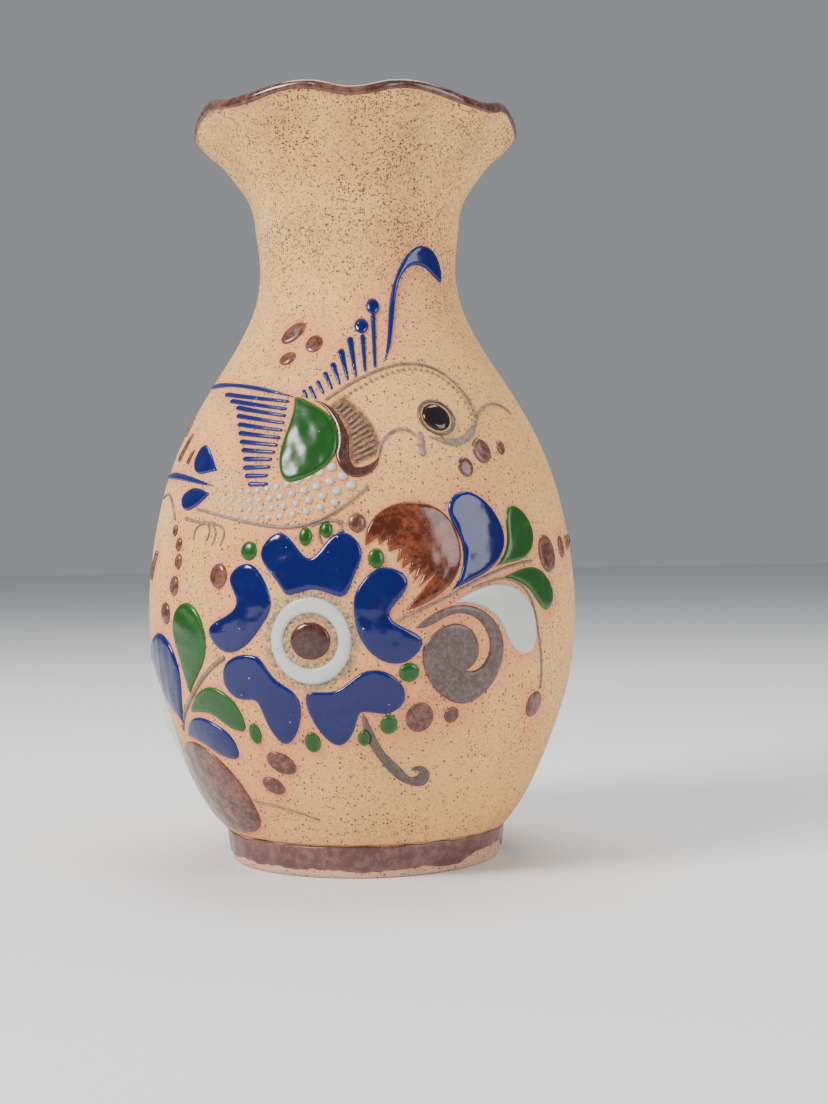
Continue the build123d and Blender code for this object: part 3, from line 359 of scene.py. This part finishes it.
# ---------------------------------------------------------------- raised decoration
def boundary_loops(points, triangles):
    """Closed loops round the outer faces of a trimmed relief solid."""
    lift = np.hypot(points[:, 0], points[:, 1]) - wall_radius(points[:, 2])
    thickness = np.percentile(lift, 98)
    high = lift > 0.72 * thickness
    top = triangles[high[triangles].all(1)]
    edges = np.concatenate([top[:, [0, 1]], top[:, [1, 2]], top[:, [2, 0]]])
    edges = edges[edges[:, 0] != edges[:, 1]]
    known = set(map(tuple, edges.tolist()))
    follow = {}
    for a, b in known:
        if (b, a) not in known:
            follow.setdefault(a, []).append(b)
    loops = []
    while follow:
        start = min(follow)
        loop = [start]
        here = follow[start].pop()
        if not follow[start]:
            del follow[start]
        while here != start and here in follow:
            loop.append(here)
            step = follow[here].pop()
            if not follow[here]:
                del follow[here]
            here = step
        closes = here == start or np.linalg.norm(points[here] - points[start]) < 0.3
        if closes and len(loop) > 4:
            loops.append(points[loop])
    return loops, thickness


def area(loop):
    x, y = loop[:, 0], loop[:, 1]
    return 0.5 * np.sum(x * np.roll(y, -1) - np.roll(x, -1) * y)


def resample(loop, step):
    """Even spacing along a loop, with its sharp corners kept."""
    gap = np.hypot(*(loop - np.roll(loop, 1, axis=0)).T)
    loop = loop[gap > 0.004]
    ahead = np.roll(loop, -1, axis=0) - loop
    back = loop - np.roll(loop, 1, axis=0)
    turn = np.arctan2(ahead[:, 1], ahead[:, 0]) - np.arctan2(back[:, 1], back[:, 0])
    turn = np.abs(np.angle(np.exp(1j * turn)))
    corners = np.nonzero(turn > math.radians(38))[0]
    if len(corners) == 0:
        corners = np.array([0])
    loop = np.roll(loop, -corners[0], axis=0)
    corners = list(corners - corners[0]) + [len(loop)]
    loop = np.vstack([loop, loop[:1]])
    made = []
    for first, last in zip(corners[:-1], corners[1:]):
        run = loop[first:last + 1]
        along = np.concatenate([[0], np.cumsum(np.hypot(*np.diff(run, axis=0).T))])
        count = max(1, int(round(along[-1] / step)))
        if len(corners) == 2:
            count = max(count, 8)
        at = np.linspace(0, along[-1], count + 1)[:-1]
        made.append(np.stack([np.interp(at, along, run[:, 0]), np.interp(at, along, run[:, 1])], 1))
    return np.vstack(made)


BATCH = 1500  # points compared with an outline at a time, to spare memory
MEAN_RADIUS = 60  # turns an azimuth into a length on the belly, roughly


def edge_distance(points, starts, ends):
    """Distance from each point to the nearest edge of the outline."""
    result = np.empty(len(points))
    run = ends - starts
    length = np.maximum((run ** 2).sum(1), 1e-12)
    for first in range(0, len(points), BATCH):
        part = points[first:first + BATCH, None, :] - starts[None]
        share = np.clip((part * run[None]).sum(2) / length, 0, 1)
        away = part - share[..., None] * run[None]
        result[first:first + BATCH] = np.sqrt((away ** 2).sum(2).min(1))
    return result


def inside(points, starts, ends):
    """Even-odd test of points against the outline's edges."""
    result = np.empty(len(points), bool)
    for first in range(0, len(points), BATCH):
        x = points[first:first + BATCH, 0][:, None]
        y = points[first:first + BATCH, 1][:, None]
        cross = (starts[None, :, 1] > y) != (ends[None, :, 1] > y)
        run = ends[None, :, 0] - starts[None, :, 0]
        rise = ends[None, :, 1] - starts[None, :, 1]
        rise = np.where(np.abs(rise) < 1e-12, 1e-12, rise)
        at = starts[None, :, 0] + (y - starts[None, :, 1]) * run / rise
        result[first:first + BATCH] = ((cross & (x < at)).sum(1) % 2) == 1
    return result


def around(places, home):
    """Azimuth from home as a length, and the height."""
    away = np.angle(np.exp(1j * (np.arctan2(places[:, 0], -places[:, 1]) - home)))
    return np.stack([away * MEAN_RADIUS, places[:, 2]], 1)


def swell(distance, thickness, widest, u, v, seed):
    """Height of the enamel over the clay: rounded edge, slight crown and flow."""
    if thickness < 0.6:
        t = np.clip(distance / min(0.6, max(widest, 0.3)), 0, 1)
        return 0.58 * np.sqrt(1 - (1 - t) ** 2) + 0.03 * ripple(u, v, seed, 4) * t
    if thickness < 0.95:
        t = np.clip(distance / min(1.1, widest), 0, 1)
        crown = 0.30 * (1 - np.exp(-distance / 3.5))
        flow = 0.09 * ripple(u, v, seed, 9) * np.clip(distance / 2, 0, 1)
        return 0.72 * np.sqrt(1 - (1 - t) ** 2) + crown + flow
    if widest > 5.5:
        t = np.clip(distance / 1.5, 0, 1)
        folds = 0.16 * ripple(u, v, seed + 1, 7.5) * np.clip(distance / 1.5, 0, 1)
        return 0.85 * np.sqrt(1 - (1 - t) ** 2) + 0.45 * (1 - np.exp(-distance / 3)) + folds
    t = np.clip(distance / min(2.4, widest), 0, 1)
    return min(1.2, 0.98 * widest) * (1 + 0.06 * math.sin(seed)) * np.sqrt(1 - (1 - t) ** 2)


def raised(node, seed):
    """Rebuild one relief node with soft, poured-looking edges."""
    loops, thickness = boundary_loops(*mesh_arrays(node))
    fine = thickness < 0.6
    step = 0.32 if fine else 0.42
    outlines, holes = [], []
    for loop in loops:
        home = math.atan2(loop[:, 0].mean(), -loop[:, 1].mean())
        flat = around(loop, home)
        size = area(flat)
        if abs(size) < 0.05:
            continue
        parents = 0
        for other in loops:
            rim = around(other, home)
            if other is not loop and abs(area(rim)) > abs(size):
                parents += inside(flat[:1], rim, np.roll(rim, -1, axis=0))[0]
        if parents % 2:
            holes.append(loop if size < 0 else loop[::-1])
        else:
            outlines.append((loop if size > 0 else loop[::-1], home))
    points, faces, depth, rims = [], [], [], []
    for number, (loop, home) in enumerate(outlines):
        def chart(places):
            away = np.angle(np.exp(1j * (np.arctan2(places[:, 0], -places[:, 1]) - home)))
            height = places[:, 2]
            return np.stack([wall_radius(height) * away, np.interp(height, HEIGHTS, RUN)], 1)
        flat = chart(loop)
        edges = np.stack([flat, np.roll(flat, -1, axis=0)])
        family = [resample(flat, step)]
        for hole in holes:
            inner = chart(hole)
            if inside(inner[:1], edges[0], edges[1])[0]:
                family.append(resample(inner, step))
        starts = np.vstack(family)
        ends = np.vstack([np.roll(part, -1, axis=0) for part in family])
        run = ends - starts
        normal = np.stack([-run[:, 1], run[:, 0]], 1) / np.maximum(np.hypot(*run.T), 1e-9)[:, None]
        middle = (starts + ends) / 2
        extra = []
        for offset in ((0.08, 0.2) if fine else (0.10, 0.28, 0.55)):
            ring = middle + normal * offset
            extra.append(ring[edge_distance(ring, starts, ends) > offset * 0.93])
        pitch = 0.36 if fine else 0.62
        low, high = starts.min(0), starts.max(0)
        across, up = np.meshgrid(
            np.arange(low[0], high[0], pitch), np.arange(low[1], high[1], pitch * 0.866)
        )
        across = across + (np.arange(across.shape[0]) % 2)[:, None] * pitch / 2
        grid = np.stack([across.ravel(), up.ravel()], 1)
        if len(grid):
            grid = grid[inside(grid, starts, ends)]
        if len(grid):
            grid = grid[edge_distance(grid, starts, ends) > (0.32 if fine else 0.8)]
        extra.append(grid)
        cloud = np.vstack([starts] + extra)
        border = []
        first = 0
        for part in family:
            count = len(part)
            border += [(first + k, first + (k + 1) % count) for k in range(count)]
            first += count
        cut = delaunay_2d_cdt([Vector(p) for p in cloud.tolist()], border, [], 0, 1e-5)
        spots = np.array([tuple(p) for p in cut[0]])
        trios = np.array([f for f in cut[2] if len(f) == 3])
        trios = trios[inside(spots[trios].mean(1), starts, ends)]
        used, back = np.unique(trios, return_inverse=True)
        spots, trios = spots[used], back.reshape(-1, 3)
        distance = edge_distance(spots, starts, ends)
        distance[distance < 0.004] = 0
        widest = max(distance.max(), 0.2)
        u, v = spots[:, 0] + home * MEAN_RADIUS, spots[:, 1]
        lift = swell(distance, thickness, widest, u, v, seed + number)
        height = np.interp(spots[:, 1], RUN, HEIGHTS)
        azimuth = home + spots[:, 0] / wall_radius(height)
        base = len(points) and sum(len(p) for p in points)
        for rise in (lift, np.full(len(spots), -0.28)):
            radius = wall_radius(height) + rise
            skin = [radius * np.sin(azimuth), -radius * np.cos(azimuth), height]
            points.append(np.stack(skin, 1))
        count = len(spots)
        known = set()
        for a, b, c in trios.tolist():
            faces.append((base + a, base + b, base + c))
            faces.append((base + count + c, base + count + b, base + count + a))
            known.update(((a, b), (b, c), (c, a)))
        for a, b in sorted(known):
            if (b, a) not in known:
                faces.append((base + b, base + a, base + count + a, base + count + b))
        depth += [distance, distance]
        rims.append(points[-2][distance == 0])
    slot = SLOT_OF[node]
    paint = SPECIAL.get(node, PAINT[slot])
    piece = add_mesh("look_" + node, np.vstack(points), faces, paint, [node])
    add_value(piece, "depth", np.clip(np.concatenate(depth) / 2.0, 0, 1))
    return piece, np.vstack(rims)


PLAIN = ("clay_body", "fluted_mouth", "rim_glaze", "foot_ring", "foot_glaze")
GLOWING = ("enamel_blue", "enamel_green", "glaze_brown")
halo_points, fringe_points, stain_points = [], [], []
for order, node in enumerate(sorted(frame["nodes"])):
    if node in PLAIN:
        continue
    piece, rim = raised(node, 10 * order)
    if SLOT_OF[node] in GLOWING or node in ("scroll", "right_white_leaf"):
        halo_points.append(rim)
    if node in ("flower_ring", "back_ring"):
        fringe_points.append(rim)
    if node == "neck_stripes":
        stain_points.append(rim)


# ---------------------------------------------------------------- the clay
# the round of the lip: its radius, and the angles where the outer and inner skins leave it
LIP_ROUND = 1.7
LIP_OUT, LIP_IN = -38.0, 142.0
# azimuth of each valley or hump of the lip, and how many half flutes it is from the front
FLUTES = (
    (-180, -8), (-158, -7), (-136, -6), (-113, -5), (-91, -4), (-67, -3), (-45, -2), (-18, -1),
    (-1, 0), (17, 1), (49, 2), (69, 3), (91, 4), (113, 5), (137, 6), (157, 7), (180, 8),
)
# the lip sags or rises by hand, in millimetres, at these azimuths
SAG = ((-180, 0.3), (-135, -0.7), (-91, -1.5), (-45, 0.9), (-18, -0.8), (0, 0.1), (17, -0.9),
       (50, -0.4), (91, -1.5), (135, 0.4), (180, 0.3))


def lip(azimuth):
    """Centre line of the lip, radius and height, at azimuths in degrees."""
    phase = np.interp(azimuth, *zip(*FLUTES)) * math.pi
    wave = np.cos(phase)
    sag = np.interp(azimuth, *zip(*SAG))
    push = -0.35 + 0.5 * np.cos(np.radians(2 * azimuth)) * 0.6
    return 50.2 + 0.8 * wave + push, 235.9 - 2.0 * wave + sag


COLUMNS = 540
NECK = 204.0
AZIMUTH = np.linspace(-180, 180, COLUMNS, endpoint=False)
lip_r, lip_z = lip(AZIMUTH)
soft = np.exp(-0.5 * (np.arange(-12, 13) / 4.5) ** 2)
soft /= soft.sum()


def blur(values):
    return np.convolve(np.concatenate([values[-12:], values, values[:12]]), soft, "valid")


lip_r, lip_z = blur(lip_r), blur(lip_z)
TURN = np.radians(AZIMUTH)


def lip_at(radius, angle):
    turn = np.radians(angle)
    return lip_r + radius * np.cos(turn), lip_z + radius * np.sin(turn)


def through(knots, count, first=0):
    """Rows of a smooth curve through the knots, from knot number first to the last."""
    middle = np.array([[knot[0].mean(), knot[1].mean()] for knot in knots])
    at = np.concatenate([[0], np.cumsum(np.hypot(*np.diff(middle, axis=0).T))])
    places = np.linspace(at[first], at[-1], count + 1)[1:]
    weights = [Curve(at, unit)(places) for unit in np.eye(len(knots))]
    made = []
    for row in range(count):
        made.append(tuple(sum(w[row] * k[axis] for w, k in zip(weights, knots)) for axis in (0, 1)))
    return made


ones = np.ones(COLUMNS)
rows = []
# the underside: the recess inside the foot ring, then out over the ring to the wall
for radius, height in (
    (12, 5), (25, 5), (36.9, 5), (37.5, 5.6), (37.5, 10.4), (44.8, 10.45), (45.8, 10.7),
):
    rows.append((radius * ones, height * ones))
wall_first = len(rows)
neck_run = np.interp(NECK, HEIGHTS, RUN)
steps = int(neck_run / 0.85)
for run in np.linspace(0, neck_run, steps + 1):
    height = np.interp(run, RUN, HEIGHTS)
    rows.append((WALL(height) * ones, height * ones))
wall_last = wall_first + steps


LIP_MEAN_R, LIP_MEAN_Z = 50.6, 232.4


def follow_lip(radius, height, share):
    """A place in the flare that moves with the lip by that share."""
    return radius + share * (lip_r - LIP_MEAN_R), height + share * (lip_z - LIP_MEAN_Z)


outer_knots = [(WALL(h) * ones, h * ones) for h in (NECK - 8, NECK - 4, NECK, 211.5)]
outer_knots += [
    follow_lip(39.6, 218.6, 0.30), follow_lip(43.8, 223.6, 0.62), follow_lip(48.6, 227.6, 0.9),
    lip_at(LIP_ROUND, LIP_OUT),
]
rows += through(outer_knots, 44, 2)
for angle in np.linspace(LIP_OUT, LIP_IN, 13)[1:]:
    rows.append(lip_at(LIP_ROUND, angle))
inner_knots = [
    lip_at(LIP_ROUND, LIP_IN), follow_lip(46.2, 231.4, 0.9), follow_lip(40.4, 227.0, 0.62),
    follow_lip(35.4, 221.4, 0.30), (30.7 * ones, 213 * ones),
]
rows += through(inner_knots, 30)
# radius and height of the inside, from the neck down to the middle of the floor
INNER = ((30.7, 213), (28, 206), (26.7, 190), (31.2, 170), (43.2, 150), (54.9, 128), (61.8, 102),
         (63.8, 76), (61.4, 56), (55, 37), (45.5, 20.5), (36, 14.2), (24, 12.5))
inner_r, inner_z = np.array(INNER, float).T
chord = np.concatenate([[0], np.cumsum(np.hypot(np.diff(inner_r), np.diff(inner_z)))])
inner_r, inner_z = Curve(chord, inner_r), Curve(chord, inner_z)
for at in np.linspace(0, chord[-1], 120)[1:]:
    rows.append((inner_r(at) * ones, inner_z(at) * ones))
rows.append((12 * ones, 12.5 * ones))

grid_r = np.array([row[0] for row in rows])
grid_z = np.array([row[1] for row in rows])
turned = np.broadcast_to(TURN, grid_r.shape)
# the wall is thrown and smoothed by hand: faint rings and a slight unevenness
hand = 0.05 * ripple(turned * MEAN_RADIUS, grid_z, 3, 42)
hand = hand + 0.03 * np.sin(grid_z / 2.6 + 0.4 * np.sin(turned))
fade = np.clip((grid_z - 12) / 8, 0, 1) * np.clip((234 - grid_z) / 10, 0, 1)
grid_r = grid_r + hand * fade
points = np.stack([grid_r * np.sin(turned), -grid_r * np.cos(turned), grid_z], 2).reshape(-1, 3)
count = len(rows)
points = np.vstack([points, [[0, 0, 5], [0, 0, 12.5]]])
faces = []
for k in range(count - 1):
    for j in range(COLUMNS):
        n = (j + 1) % COLUMNS
        low, high = k * COLUMNS, (k + 1) * COLUMNS
        faces.append((low + j, low + n, high + n, high + j))
bottom, floor_middle = count * COLUMNS, count * COLUMNS + 1
for j in range(COLUMNS):
    n = (j + 1) % COLUMNS
    faces.append((bottom, n, j))
    faces.append((floor_middle, (count - 1) * COLUMNS + j, (count - 1) * COLUMNS + n))
clay = add_mesh("look_clay", points, faces, CLAY, ["clay_body", "fluted_mouth"])


def nearness(places):
    """Distance in millimetres from those places, at each vertex of the clay's outer wall."""
    tree = KDTree(len(places))
    for k, spot in enumerate(places.tolist()):
        tree.insert(spot, k)
    tree.balance()
    away = np.full(len(points), 99.0)
    for k in range(wall_first * COLUMNS, wall_last * COLUMNS):
        away[k] = tree.find(points[k])[2]
    return away


near = nearness(np.vstack(halo_points)[::2])
add_value(clay, "halo", 0.70 * np.exp(-(near / 3.6) ** 1.3) + 0.30 * np.exp(-near / 9.0))
near = nearness(np.vstack(fringe_points))
add_value(clay, "fringe", np.clip(1.35 - near / 2.6, 0, 1))
near = nearness(np.vstack(stain_points))
add_value(clay, "stain", np.clip(2.2 - near / 0.9, 0, 1))


# ---------------------------------------------------------------- glaze on lip and foot
def band(name, outer, inner, nodes, paint, depth):
    """Closed ring between an outer and an inner skin, each rows of (radius, height)."""
    ring = outer + inner[::-1]
    ring_r = np.array([row[0] for row in ring])
    ring_z = np.array([row[1] for row in ring])
    places = np.stack([ring_r * np.sin(TURN), -ring_r * np.cos(TURN), ring_z], 2).reshape(-1, 3)
    quads = []
    total = len(ring)
    for k in range(total):
        m = (k + 1) % total
        for j in range(COLUMNS):
            n = (j + 1) % COLUMNS
            quads.append((k * COLUMNS + j, k * COLUMNS + n, m * COLUMNS + n, m * COLUMNS + j))
    made = add_mesh(name, places, quads, paint, nodes)
    if depth:
        add_value(made, "depth", np.repeat(depth + depth[::-1], COLUMNS))
    return made


def lip_wave(seed, size):
    return ripple(MEAN_RADIUS * np.cos(TURN), MEAN_RADIUS * np.sin(TURN), seed, size)


start = LIP_OUT - 6 + 13 * lip_wave(21, 30)
end = LIP_IN + 8 + 14 * lip_wave(22, 24)
outer, inner, depths = [], [], []
for share in np.linspace(0, 1, 19):
    side = min(share, 1 - share)
    skin = 0.42 * math.sqrt(1 - (1 - min(side / 0.12, 1)) ** 2)
    angle = start + (end - start) * share
    outer.append(lip_at(LIP_ROUND + skin * (1 + 0.2 * lip_wave(23, 14)) + 0.01, angle))
    inner.append(lip_at(LIP_ROUND - 0.3, angle))
    depths.append(min(side * 2.2, 1.0))
band("look_rim_glaze", outer, inner, ["rim_glaze"], RIM, depths)

step_up = 2.7 * (np.clip((AZIMUTH - 44) / 3, 0, 1) - np.clip((AZIMUTH - 76) / 4, 0, 1))
low_edge = 2.3 + 0.5 * lip_wave(31, 26) + 0.22 * lip_wave(32, 7) + blur(step_up)
high_edge = 10.0 + 0.25 * lip_wave(33, 18)
outer, inner, depths = [], [], []
for share in np.linspace(0, 1, 15):
    side = min(share, 1 - share)
    skin = 0.4 * math.sqrt(1 - (1 - min(side / 0.1, 1)) ** 2)
    height = low_edge + (high_edge - low_edge) * share
    side_r = 43.5 + 1.3 * (height - 0.8) / 9.7
    outer.append((side_r + skin * (1 + 0.15 * lip_wave(34, 15)) + 0.02, height))
    inner.append((side_r - 0.3, height))
    depths.append(min(side * 2.5, 1.0))
band("look_foot_glaze", outer, inner, ["foot_glaze"], FOOT, depths)

uneven = 0.12 * lip_wave(41, 20)
ring = []
for radius, height in (
    (37.5, 10.45), (37.5, 5), (37.5, 1.2), (37.8, 0.4), (38.4, 0.05), (39.5, 0), (41.8, 0),
):
    ring.append((radius * ones, height * ones))
for radius, height in (
    (42.7, 0.08), (43.25, 0.42), (43.5, 1.0), (43.77, 2.8), (44.2, 6.0), (44.8, 10.45),
):
    ring.append((radius + uneven * min(height, 1), height * ones))
band("look_foot_ring", ring[6:], ring[:6][::-1], ["foot_ring"], RAW, None)


# ---------------------------------------------------------------- floor, light and camera
floor_mesh = bpy.data.meshes.new("floor")
floor_mesh.from_pydata([(-4, -4, 0), (4, -4, 0), (4, 4, 0), (-4, 4, 0)], [], [(0, 1, 2, 3)])
floor = bpy.data.objects.new("floor", floor_mesh)
bpy.context.scene.collection.objects.link(floor)
cloth = Paint("floor", 0.85)
floor_mesh.materials.append(cloth.finish((0.82, 0.83, 0.84)))

world = bpy.data.worlds.new("studio")
bpy.context.scene.world = world
world.use_nodes = True
world.node_tree.nodes["Background"].inputs["Color"].default_value = (0.90, 0.93, 0.98, 1)
world.node_tree.nodes["Background"].inputs["Strength"].default_value = 0.30


def lamp(name, place, target, size, power, colour):
    light = bpy.data.lights.new(name, "AREA")
    light.shape = "RECTANGLE"
    light.size, light.size_y = size
    light.energy = power
    light.color = colour
    holder = bpy.data.objects.new(name, light)
    bpy.context.scene.collection.objects.link(holder)
    holder.location = place
    holder.rotation_euler = (Vector(target) - Vector(place)).to_track_quat("-Z", "Y").to_euler()


lamp("key", (-1.0, -0.62, 1.0), (0, 0, 0.12), (0.5, 0.5), 30.0, (1.0, 0.965, 0.92))
lamp("fill", (0.95, -0.65, 0.55), (0, 0, 0.12), (0.7, 0.7), 8.5, (0.97, 0.98, 1.0))
lamp("top", (0.05, 0.25, 1.1), (0, 0, 0.2), (0.8, 0.5), 9.0, (1.0, 1.0, 1.0))

# the camera fitted to the photograph's outline of the vase
EYE = Vector((0, -0.541, 0.1043))
YAW, PITCH, ROLL = 0.0313, -0.0122, -0.015
level = math.cos(PITCH)
forward = Vector((math.sin(YAW) * level, math.cos(YAW) * level, math.sin(PITCH)))
right = Vector((math.cos(YAW), -math.sin(YAW), 0))
up = right.cross(forward)
level_right, level_up = right.copy(), up.copy()
up = level_up * math.cos(-ROLL) + level_right * math.sin(-ROLL)
right = level_right * math.cos(-ROLL) - level_up * math.sin(-ROLL)
view = Matrix((right, up, -forward)).transposed().to_4x4()
view.translation = EYE
lens = bpy.data.cameras.new("camera")
lens.lens = 54.0
lens.sensor_width = 36.0
lens.clip_start = 0.01
camera = bpy.data.objects.new("camera", lens)
bpy.context.scene.collection.objects.link(camera)
camera.matrix_world = view
bpy.context.scene.camera = camera
